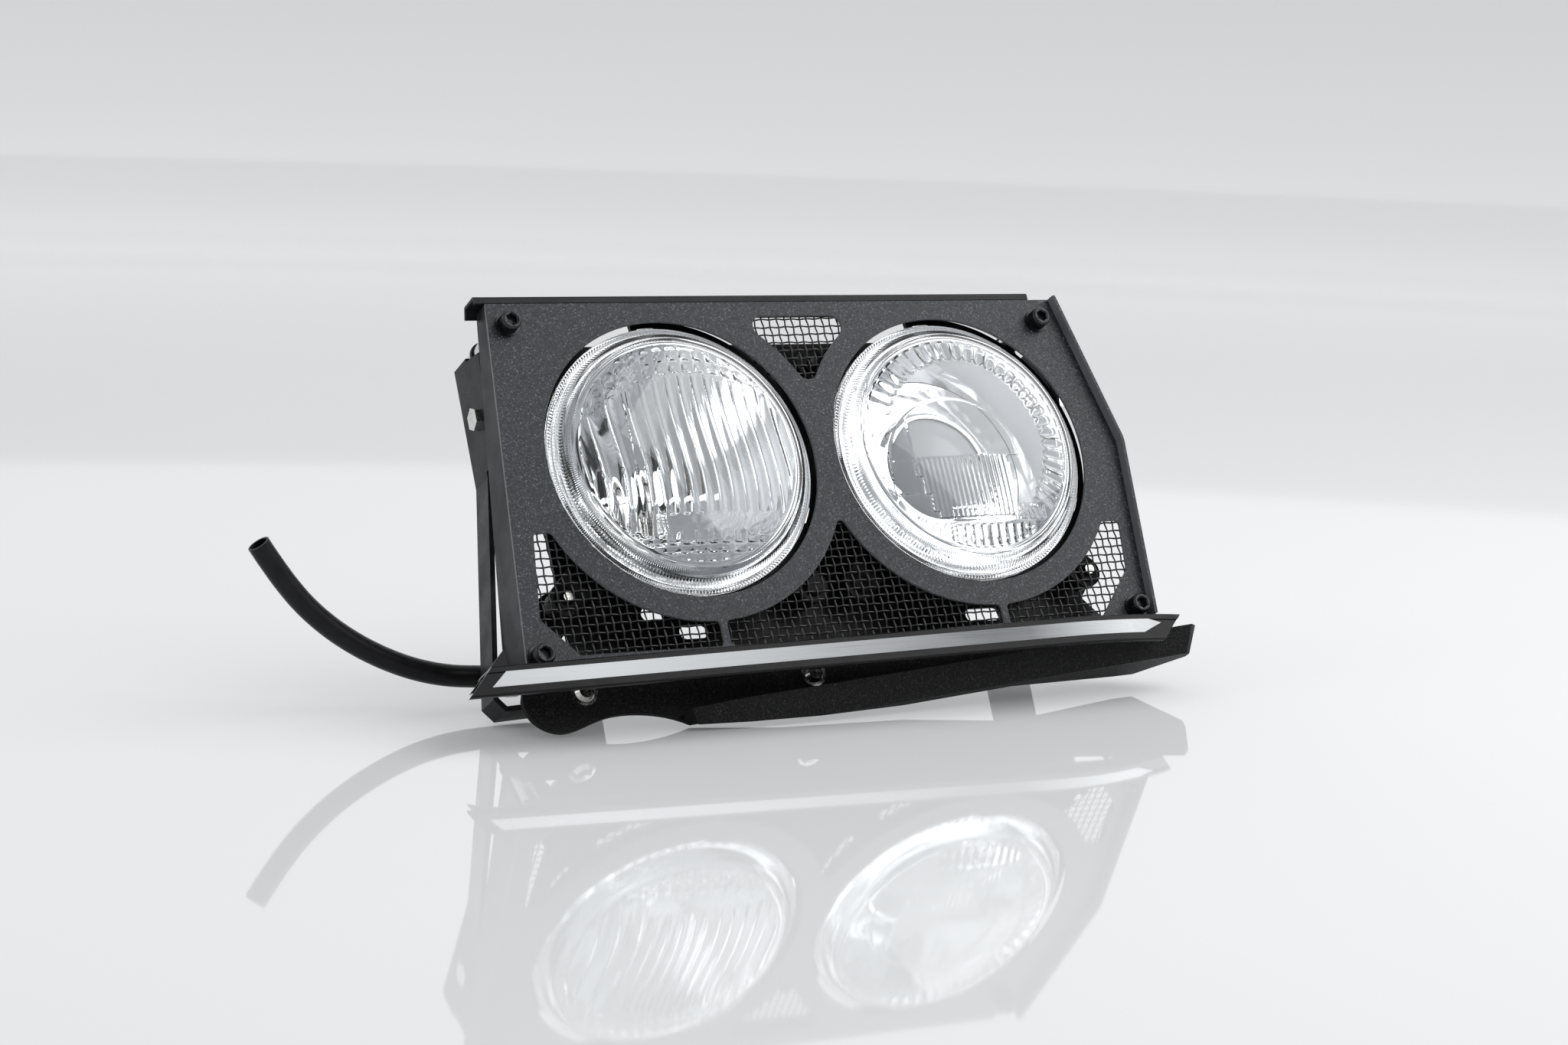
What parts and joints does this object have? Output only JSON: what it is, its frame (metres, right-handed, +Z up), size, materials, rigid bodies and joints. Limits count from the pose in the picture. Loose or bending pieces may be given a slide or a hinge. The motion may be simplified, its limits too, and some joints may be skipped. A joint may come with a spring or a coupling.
{
  "type": "car headlight assembly",
  "caption": "Round headlights in a dark leaning front panel with woven mesh windows, aiming screws, a striped trim strip, an apron, side brackets, rear stays and a wiring conduit.",
  "frame": {"origin": "centre of the assembly's footprint, at the height of its feet, without the free conduit", "axes": "+Z up as it stands on its feet, -Y towards the front of the lamps, +X to the right as seen from the front; the panel leans back 30 degrees"},
  "size_m": [0.4721, 0.1768, 0.1912],
  "materials": {
    "panel_paint": "satin dark blue-grey powder coat with a fine sparkle",
    "wall_paint": "satin charcoal paint",
    "mesh_wire": "semi-gloss black coated wire",
    "bracket_paint": "semi-gloss black paint",
    "black_screw": "glossy black",
    "zinc_steel": "bright zinc plate",
    "lamp_glass": "clear moulded glass",
    "mirror_coat": "vacuum-metallised reflector",
    "ring_plastic": "black moulded plastic",
    "cap_rubber": "black rubber",
    "bulb_glass": "clear bulb glass",
    "trim_gloss": "glossy black",
    "stripe_silver": "satin silver",
    "apron_skin": "grained black moulding",
    "conduit_plastic": "black plastic tube"
  },
  "bodies": {
    "housing": {"apron": "apron_skin", "apron_screws": "zinc_steel", "bottom_trim": "trim_gloss", "bracket_bolts": "zinc_steel", "bracket_nuts": "zinc_steel", "carrier_plate": "bracket_paint", "conduit": "conduit_plastic", "conduit_grommet": "cap_rubber", "front_panel": "panel_paint", "left_bracket": "bracket_paint", "left_pivot_stud": "black_screw", "left_stay": "bracket_paint", "mesh_lower_centre": "mesh_wire", "mesh_lower_left": "mesh_wire", "mesh_lower_right": "mesh_wire", "mesh_upper": "mesh_wire", "panel_nuts": "zinc_steel", "panel_screws": "black_screw", "panel_spacers": "zinc_steel", "panel_washers": "black_screw", "right_bracket": "bracket_paint", "right_pivot_stud": "black_screw", "right_stay": "bracket_paint", "side_walls": "wall_paint", "stay_bolts": "zinc_steel", "top_rail": "wall_paint", "trim_stripe": "stripe_silver"},
    "left_trunnion": {"left_pivot_block": "ring_plastic"},
    "left_lamp": {"left_lens": "lamp_glass", "left_reflector": "mirror_coat", "left_aim_ring": "ring_plastic", "left_ring_clips": "zinc_steel", "left_aim_nuts": "ring_plastic", "left_bulb": "bulb_glass", "left_bulb_base": "zinc_steel", "left_bulb_clip": "zinc_steel", "left_bulb_shield": "mirror_coat"},
    "left_cap": {"left_rear_cap": "cap_rubber"},
    "left_tilt_drive": {"left_tilt_screw": "black_screw"},
    "left_swivel_drive": {"left_swivel_screw": "zinc_steel"},
    "right_trunnion": {"right_pivot_block": "ring_plastic"},
    "right_lamp": {"right_lens": "lamp_glass", "right_reflector": "mirror_coat", "right_aim_ring": "ring_plastic", "right_ring_clips": "zinc_steel", "right_aim_nuts": "ring_plastic", "right_bulb": "bulb_glass", "right_bulb_base": "zinc_steel", "right_bulb_clip": "zinc_steel", "right_projector_lens": "lamp_glass", "right_projector_ring": "mirror_coat"},
    "right_cap": {"right_rear_cap": "cap_rubber"},
    "right_tilt_drive": {"right_tilt_screw": "black_screw"},
    "right_swivel_drive": {"right_swivel_screw": "zinc_steel"}
  },
  "joints": [
    {"name": "left_tilt", "type": "hinge", "parent": "housing", "child": "left_trunnion", "pos_m": [-0.0028, -0.0257, 0.05256], "axis": [1, 0, 0], "range_deg": [-2, 2]},
    {"name": "left_swivel", "type": "hinge", "parent": "left_trunnion", "child": "left_lamp", "pos_m": [-0.0028, -0.0257, 0.05256], "axis": [0, 0.5, 0.866], "range_deg": [-2, 2]},
    {"name": "left_cap_twist", "type": "hinge", "parent": "left_lamp", "child": "left_cap", "pos_m": [-0.0658, 0.06116, 0.074], "axis": [0, -0.866, 0.5], "range_deg": [0, 35]},
    {"name": "left_tilt_turn", "type": "hinge", "parent": "housing", "child": "left_tilt_drive", "pos_m": [-0.0028, 0.04486, 0.14577], "axis": [0, -0.866, 0.5], "range_deg": [-980, 980]},
    {"name": "left_swivel_turn", "type": "hinge", "parent": "housing", "child": "left_swivel_drive", "pos_m": [-0.1318, -0.01314, 0.04531], "axis": [0, -0.866, 0.5], "range_deg": [-1088, 1088]},
    {"name": "right_tilt", "type": "hinge", "parent": "housing", "child": "right_trunnion", "pos_m": [0.0232, -0.0257, 0.05256], "axis": [1, 0, 0], "range_deg": [-2, 2]},
    {"name": "right_swivel", "type": "hinge", "parent": "right_trunnion", "child": "right_lamp", "pos_m": [0.0232, -0.0257, 0.05256], "axis": [0, 0.5, 0.866], "range_deg": [-2, 2]},
    {"name": "right_cap_twist", "type": "hinge", "parent": "right_lamp", "child": "right_cap", "pos_m": [0.0862, 0.06116, 0.074], "axis": [0, -0.866, 0.5], "range_deg": [0, 35]},
    {"name": "right_tilt_turn", "type": "hinge", "parent": "housing", "child": "right_tilt_drive", "pos_m": [0.0232, 0.04486, 0.14577], "axis": [0, -0.866, 0.5], "range_deg": [-980, 980]},
    {"name": "right_swivel_turn", "type": "hinge", "parent": "housing", "child": "right_swivel_drive", "pos_m": [0.1522, -0.01314, 0.04531], "axis": [0, -0.866, 0.5], "range_deg": [-1088, 1088]}
  ],
  "couplings": [
    {"joint": "left_tilt_turn", "follows": "left_tilt", "ratio": 485.9},
    {"joint": "left_swivel_turn", "follows": "left_swivel", "ratio": 540.35},
    {"joint": "right_tilt_turn", "follows": "right_tilt", "ratio": 485.9},
    {"joint": "right_swivel_turn", "follows": "right_swivel", "ratio": -540.35}
  ]
}
